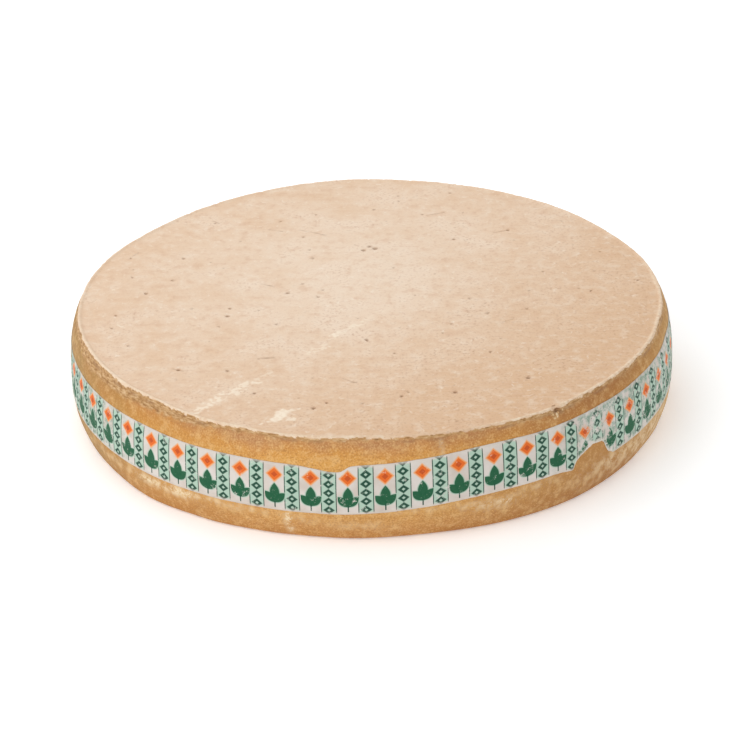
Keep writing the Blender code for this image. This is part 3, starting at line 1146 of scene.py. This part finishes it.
rind_tree = BVHTree.FromPolygons([vertex.co for vertex in rind.data.vertices],
                                 [tuple(face.vertices) for face in rind.data.polygons])


def surface_near(angle, height):
    """The rind's own point and normal near an angle and a height."""
    radius = heel_radius(height) + swell_at(angle, height)
    spot, normal, _, _ = rind_tree.find_nearest(place(radius, angle, height))
    return spot, normal


def copy_crumb(kind, spot, normal, size, turn, tone):
    """A copy of a crumb, with its own mesh, lying on the rind."""
    copy = bpy.data.objects.new("crumb", kind.data.copy())
    bpy.context.collection.objects.link(copy)
    lie = normal.to_track_quat("Z", "Y").to_matrix() @ Matrix.Rotation(turn, 3, "Z")
    for vertex in copy.data.vertices:
        vertex.co = spot + lie @ (vertex.co * Vector(size))
    store_mask(copy.data, "tone", [tone] * len(copy.data.vertices))
    return copy


def scatter_crumbs():
    """Presses crumbs into the torn rind all round, and adds the salt grains and larger flaps."""
    copies = []
    while len(copies) < CRUMB_COUNT:
        angle = crumb_draw.uniform(-180.0, 180.0)
        depth = torn_depth(angle)
        if crumb_draw.random() > 0.05 + depth / (13.0 * MM):
            continue
        down = crumb_draw.random() ** 1.3
        height = WHEEL_HEIGHT - CRUMBS_FROM - (depth - CRUMBS_FROM) * down
        size = crumb_draw.uniform(0.6, 1.4) * MM
        if crumb_draw.random() < 0.10:
            size *= 1.4
        spot, normal = surface_near(angle, height)
        spot = spot - normal * 0.16 * size
        kind = crumb_kinds[crumb_draw.randrange(CRUMB_KINDS)]
        turn = crumb_draw.uniform(0.0, math.tau)
        tone = 0.10 + 0.62 * crumb_draw.random() * (1.0 - 0.45 * down)
        copies.append(copy_crumb(kind, spot, normal, (size, size, size * 0.7), turn, tone))
    for middle, high, half_width, half_height, strength in BLOOMS:
        for _ in range(SALT_CRUMBS if strength > SALTY else 0):
            angle = crumb_draw.gauss(middle, half_width * 0.6)
            height = crumb_draw.gauss(high, half_height * 0.6) * MM
            if under_paper(angle, height) > 0.0 or height < 4.0 * MM:
                continue
            spot, normal = surface_near(angle, height)
            size = crumb_draw.uniform(0.6, 1.5) * MM
            kind = crumb_kinds[crumb_draw.randrange(CRUMB_KINDS)]
            turn = crumb_draw.uniform(0.0, math.tau)
            copies.append(copy_crumb(kind, spot, normal, (size * 1.4, size, size * 0.5), turn, 0.95))
    for angle, height, along, out, up, tone in FLAPS:
        spot, normal = surface_near(angle, height * MM)
        size = (along * MM, up * MM, out * MM)
        copies.append(copy_crumb(crumb_kinds[0], spot, normal, size, 0.0, tone))
    return copies


def join_crumbs(copies):
    """Joins the crumbs into one piece, and removes the four that were copied."""
    only(copies[0])
    for copy in copies:
        copy.select_set(True)
    bpy.ops.object.join()
    piece = bpy.context.object
    piece.name = "lip_crumbs"
    for kind in crumb_kinds:
        bpy.data.objects.remove(kind)
    print("crumbs", len(copies), "faces", len(piece.data.polygons))
    return piece


crumbs = join_crumbs(scatter_crumbs())

# %% Crumb material
CRUMB_COLOURS = ((0.0, "#976F43"), (0.35, "#B18856"), (0.60, "#C49A69"), (0.85, "#DABB8E"), (1.0, "#EEDDC4"))
CRUMB_GRAIN = 1.1 * MM


def make_crumb_material():
    """Broken crust: each crumb has its own tone, from brown to cream."""
    material, tree, shader = new_material("broken cheese crust")
    spot = add_node(tree, "TexCoord").outputs["Object"]
    tone = add_node(tree, "Attribute", attribute_name="tone").outputs["Fac"]
    grain = add_node(tree, "TexNoise", {"Vector": spot, "Scale": 1.0 / CRUMB_GRAIN, "Detail": 2.0})
    sway = add_node(tree, "MapRange", {0: grain, 1: 0.3, 2: 0.7, 3: -0.14, 4: 0.14})
    share = add_node(tree, "Math", {0: tone, 1: sway}, operation="ADD")
    colour = set_stops(add_node(tree, "ValToRGB", {0: share}), CRUMB_COLOURS)
    shader.inputs["Roughness"].default_value = 0.75
    finish_surface(tree, shader, colour, grain, 0.4, 0.3 * MM, RIND_IOR)
    return material


crumbs.data.materials.clear()
crumbs.data.materials.append(make_crumb_material())
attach(crumbs, "root")

# %% [markdown]
# ## The paper band
#
# The band is thin paper, glued on while the rind was damp, so it follows
# every low bump. It is modelled from an open cylinder, whose upright edges
# are subdivided. Each point is then laid on the rind between the band's
# two edges, a fifth of a millimetre out, and Solidify gives the thickness.
# The edges wave a little, lift in places, and are ragged where torn.

# %% Lay the paper on the heel
PAPER_STEPS = 1440
PAPER_CUTS = 15
PAPER_LIFT = 0.18 * MM
PAPER_THICKNESS = 0.16 * MM
PRINT_REPEATS = 54
PRINT_PITCH = 37.87 * MM
EDGE_WAVES = ((0.35, 9.0), (0.18, 45.0))
TORN_WAVES = ((0.9, 70.0), (0.6, 170.0))


def open_cylinder():
    """A tube without ends."""
    bpy.ops.object.select_all(action="DESELECT")
    bpy.ops.mesh.primitive_cylinder_add(vertices=PAPER_STEPS, radius=BELLY_RADIUS, depth=1.0,
                                        end_fill_type="NOTHING")
    piece = bpy.context.object
    piece.name = "glued_paper_band"
    return piece


def upright(edge):
    """True for an edge that runs up the tube."""
    return abs(edge.verts[0].co.z - edge.verts[1].co.z) > 0.5


def round_point(angle, level=0.0):
    """A point on a circle, for noise that closes on itself round the wheel."""
    turn = math.radians(angle)
    return Vector((math.sin(turn), math.cos(turn), level))


def paper_upper(angle):
    """Height of the paper's upper edge, with its small waves."""
    wave = MM * noise_sum(round_point(angle, 0.3), EDGE_WAVES)
    return cut_upper_edge(angle) - band_dip(angle) + wave


def paper_lower(angle):
    """Height of the paper's lower edge, ragged where the arch is torn out."""
    spot = round_point(angle, 0.7)
    wave = noise_sum(spot, EDGE_WAVES) + arch_share(angle) * noise_sum(spot, TORN_WAVES)
    return cut_lower_edge(angle) + band_arch(angle) + MM * wave


def paper_lift(point, angle, share):
    """How far the paper stands off the rind: wrinkles, and edges that lift in places."""
    turn = round_point(angle)
    wrinkle = noise.noise(Vector((turn.x * 26.0, turn.y * 26.0, point.z * 20.0)))
    crease = 1.0 - abs(noise.noise(Vector((turn.x * 34.0, turn.y * 34.0, point.z * 9.0)))) * 5.0
    near_edge = max(1.0 - share / 0.12, 1.0 - (1.0 - share) / 0.12, 0.0)
    loose = max(noise.noise(turn * 11.0 + Vector((0.0, 0.0, share * 3.0))), 0.0)
    return MM * (0.10 * wrinkle + 0.14 * max(crease, 0.0) + 0.26 * loose * near_edge * near_edge)


def lay_paper(piece):
    """Moves each point of the tube to its place on the heel."""
    for vertex in piece.data.vertices:
        angle = angle_of(vertex.co)
        share = vertex.co.z + 0.5
        low, high = paper_lower(angle), paper_upper(angle)
        height = low + (high - low) * share
        point = shaped_point(place(heel_radius(height), angle, height))
        out = PAPER_LIFT + PAPER_THICKNESS + heel_relief(point, angle) + paper_lift(point, angle, share)
        vertex.co = place(math.hypot(point.x, point.y) + out, angle, height)
    piece.data.update()


paper = open_cylinder()
subdivide_where(paper, "EDGE", upright, PAPER_CUTS)
lay_paper(paper)

# %% Print coordinates, wear and thickness
SCUFF = (
    # middle in degrees, half width, how much ink is rubbed away
    (44.4, 5.2, 0.52), (57.0, 10.0, 0.18), (76.0, 14.0, 0.30), (100.0, 18.0, 0.30), (-96.0, 10.0, 0.25),
)
SMUDGE = (
    # middle in degrees, half width, how much ink is smeared over the paper
    (50.0, 13.0, 0.9), (72.0, 18.0, 1.0), (104.0, 22.0, 0.7), (-80.0, 26.0, 1.1), (190.0, 40.0, 0.3),
)
PAPER_MASKS = ("wear", "tear", "smudge")
TORN_FADE = (0.5 * MM, 4.0 * MM)
FRAYED_FADE = (0.3 * MM, 3.6 * MM)
FRAYED = 0.7


def strongest_at(angle, stretches):
    """The strongest of a list of soft-edged stretches at an angle."""
    strongest = 0.0
    for middle, half_width, strength in stretches:
        across = angle_apart(angle, middle) / half_width
        strongest = max(strongest, strength * math.exp(-across ** 4))
    return strongest


def unroll_paper(piece):
    """Gives the paper a UV map in metres: along the band, and up from its cut lower edge."""
    mesh = piece.data
    flat = mesh.uv_layers[0]
    length = PRINT_REPEATS * PRINT_PITCH
    for face in mesh.polygons:
        middle = angle_of(face.center)
        for loop in face.loop_indices:
            point = mesh.vertices[mesh.loops[loop].vertex_index].co
            angle = middle + angle_apart(angle_of(point), middle)
            flat.data[loop].uv = (length * angle / 360.0, point.z - cut_lower_edge(angle))
    rows = []
    for vertex in mesh.vertices:
        angle = angle_of(vertex.co)
        above = vertex.co.z - paper_lower(angle)
        below = paper_upper(angle) - vertex.co.z
        torn = arch_share(angle) * (1.0 - smooth_step(*TORN_FADE, above))
        frayed = FRAYED * (1.0 - smooth_step(*FRAYED_FADE, min(above, below)))
        rows.append((strongest_at(angle, SCUFF), max(torn, frayed), strongest_at(angle, SMUDGE)))
    for name, values in zip(PAPER_MASKS, zip(*rows)):
        store_mask(mesh, name, values)
    print("unrolled", round(length, 4), "m")


def thicken_paper(piece):
    """Gives the paper its thickness, inwards."""
    only(piece)
    solid = piece.modifiers.new("thickness", "SOLIDIFY")
    solid.thickness = PAPER_THICKNESS
    solid.offset = -1.0
    bpy.ops.object.modifier_apply(modifier=solid.name)
    piece.data.shade_smooth()
    print("paper", len(piece.data.polygons), "faces")


unroll_paper(paper)
thicken_paper(paper)

# %% [markdown]
# ## The print
#
# The band repeats one label of 38 mm, 54 times. The label here is a plain
# ornament in green and orange on off-white paper: a pale green panel with
# a chain of lozenges, and beside it an orange lozenge above a sprig. Every
# shape is one formula on the paper's UV map. Offset ink on rough, damp
# paper is never full: the ink has pinholes, and is rubbed off in places.

# %% Printed shapes
PANEL_X = 28.9
LEFT_X = 10.6
LOZENGE, LEAF, BAR = (1.0, 1.0), (1.0, 2.0), (12.0, 12.0)
PALE_GREEN = "#ACC6B4"
DARK_GREEN = "#154634"
LEAF_GREEN = "#0A5735"
PALE_ORANGE = "#E8A265"
ORANGE = "#E0681C"
DEEP_ORANGE = "#C04E14"
LABEL_SHAPES = (
    # form, centre X and Y in mm, half width, half height, turn in degrees, colour
    (BAR, PANEL_X, 26.8, 7.2, 24.8, 0.0, PALE_GREEN),
    (BAR, PANEL_X - 7.6, 26.8, 0.50, 25.2, 0.0, DARK_GREEN),
    (BAR, PANEL_X + 7.6, 26.8, 0.50, 25.2, 0.0, DARK_GREEN),
    (LOZENGE, LEFT_X, 40.6, 9.4, 9.0, 0.0, PALE_ORANGE),
    (LOZENGE, LEFT_X, 40.6, 7.5, 7.1, 0.0, ORANGE),
    (LOZENGE, LEFT_X, 40.6, 3.4, 3.2, 0.0, DEEP_ORANGE),
    (LEAF, LEFT_X, 20.4, 6.2, 11.6, 0.0, PALE_GREEN),
    (LEAF, LEFT_X - 5.0, 14.4, 5.4, 9.4, 45.0, PALE_GREEN),
    (LEAF, LEFT_X + 5.0, 14.4, 5.4, 9.4, -45.0, PALE_GREEN),
    (LEAF, LEFT_X, 20.4, 5.2, 10.6, 0.0, LEAF_GREEN),
    (LEAF, LEFT_X - 5.0, 14.4, 4.4, 8.4, 45.0, LEAF_GREEN),
    (LEAF, LEFT_X + 5.0, 14.4, 4.4, 8.4, -45.0, LEAF_GREEN),
    (BAR, LEFT_X, 6.4, 0.7, 3.6, 0.0, DARK_GREEN),
)
CHAIN_STEP = 9.8
CHAIN_SHAPES = (
    (LOZENGE, PANEL_X, CHAIN_STEP / 2.0, 6.0, 4.8, 0.0, DARK_GREEN),
    (LOZENGE, PANEL_X, CHAIN_STEP / 2.0, 1.9, 1.6, 0.0, PALE_GREEN),
)
SOFT_EDGE = 0.10


def print_shape(tree, spot, shape, colour, ink):
    """Prints one shape over a colour: |x|^p + |y|^q is below 1 inside it."""
    form, centre_x, centre_y, half_width, half_height, turn, swatch = shape
    local = add_node(tree, "Mapping", {"Vector": spot, "Location": (centre_x, centre_y, 0.0),
                                       "Rotation": (0.0, 0.0, math.radians(turn)),
                                       "Scale": (half_width, half_height, 1.0)}, vector_type="TEXTURE")
    away = add_node(tree, "VectorMath", {0: local}, operation="ABSOLUTE")
    parts = add_node(tree, "SeparateXYZ", {0: away})
    across = add_node(tree, "Math", {0: parts.outputs["X"], 1: form[0]}, operation="POWER")
    up = add_node(tree, "Math", {0: parts.outputs["Y"], 1: form[1]}, operation="POWER")
    total = add_node(tree, "Math", {0: across, 1: up}, operation="ADD")
    return lay_tint(tree, colour, total, (1.0 + SOFT_EDGE, 1.0 - SOFT_EDGE, 1.0), swatch, by=ink)


# %% Paper material
PAPER_IOR = 1.47
PAPER_FIBRE = 1.3 * MM
STAIN_SIZE = 24.0 * MM
PINHOLE = 1.5 * MM
INK_PATCH = 7.0 * MM
ONE_LABEL = (PRINT_PITCH / MM, 200.0, 200.0)
ONE_LINK = (1000.0, CHAIN_STEP, 1000.0)


def make_paper_material():
    """Thin absorbent paper, matt and a little warm, with broken ink over green smears."""
    material, tree, shader = new_material("printed thin matt paper")
    spot = add_node(tree, "TexCoord").outputs["Object"]
    flat = add_node(tree, "TexCoord").outputs["UV"]
    wear, tear, smudge = [add_node(tree, "Attribute", attribute_name=name).outputs["Fac"]
                          for name in PAPER_MASKS]
    stain = add_node(tree, "TexNoise", {"Vector": spot, "Scale": 1.0 / STAIN_SIZE, "Detail": 4.0})
    pinhole = add_node(tree, "TexNoise", {"Vector": spot, "Scale": 1.0 / PINHOLE, "Detail": 3.0,
                                          "Roughness": 0.7})
    patchy = add_node(tree, "TexNoise", {"Vector": spot, "Scale": 1.0 / INK_PATCH, "Detail": 3.0})
    both = add_node(tree, "Math", {0: patchy, 1: pinhole}, operation="ADD")
    left = add_node(tree, "Math", {0: wear, 1: -0.42, 2: both}, operation="MULTIPLY_ADD")
    ink = add_node(tree, "MapRange", {0: left, 1: 0.66, 2: 0.86, 4: 0.99})
    colour = lay_tint(tree, linear("#D7CFC8"), stain, (0.42, 0.72, 1.0), "#C8BBB0")
    colour = lay_tint(tree, colour, patchy, (0.38, 0.56, 0.46), "#8FB09C", by=smudge)
    colour = lay_tint(tree, colour, both, (0.98, 1.20, 0.85), "#5E8672", by=smudge)
    in_mm = add_node(tree, "VectorMath", {0: flat, 3: 1.0 / MM}, operation="SCALE")
    label = add_node(tree, "VectorMath", {0: in_mm, 1: (0.0, 0.0, 0.0), 2: ONE_LABEL}, operation="WRAP")
    for shape in LABEL_SHAPES:
        colour = print_shape(tree, label, shape, colour, ink)
    link = add_node(tree, "VectorMath", {0: label, 1: (0.0, 0.0, 0.0), 2: ONE_LINK}, operation="WRAP")
    for shape in CHAIN_SHAPES:
        colour = print_shape(tree, link, shape, colour, ink)
    colour = add_node(tree, "Mix", {0: tear, 6: colour, 7: linear("#E0D6CA")}, data_type="RGBA").outputs[2]
    fibre = add_node(tree, "TexNoise", {"Vector": spot, "Scale": 1.0 / PAPER_FIBRE, "Detail": 3.0})
    rough = add_node(tree, "MapRange", {0: fibre, 1: 0.3, 2: 0.7, 3: 0.55, 4: 0.72})
    tree.links.new(rough.outputs[0], shader.inputs["Roughness"])
    finish_surface(tree, shader, colour, fibre, 0.35, 0.25 * MM, PAPER_IOR)
    print("material", material.name, len(tree.nodes), "nodes")
    return material


paper.data.materials.clear()
paper.data.materials.append(make_paper_material())
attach(paper, "root")
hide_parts("paper_band")
